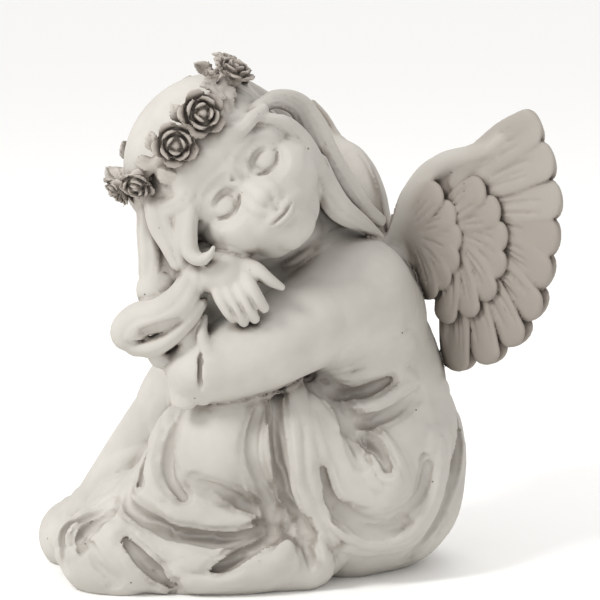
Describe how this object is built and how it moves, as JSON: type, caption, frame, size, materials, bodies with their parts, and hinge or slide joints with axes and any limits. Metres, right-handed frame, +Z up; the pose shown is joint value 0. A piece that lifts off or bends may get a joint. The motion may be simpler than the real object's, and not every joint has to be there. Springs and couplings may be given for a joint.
{
  "type": "cemetery angel statue",
  "caption": "Cast stone angel child, asleep and seated with drawn-up knees under a long robe, cheek on hand, with spread wings, long locks and a wreath of roses.",
  "frame": {"origin": "middle of the statue's box, on the flat underside that it stands on", "axes": "+Z up; the child faces -X and turns its face and knees towards -Y; the wings spread at the back, +X"},
  "size_m": [0.3053, 0.2436, 0.3058],
  "materials": {
    "cast_stone": "matt ivory-grey cast stone with a thin grey-brown wash left in the recesses"
  },
  "bodies": {
    "root": {"sleeping_angel": "cast_stone"}
  },
  "joints": []
}
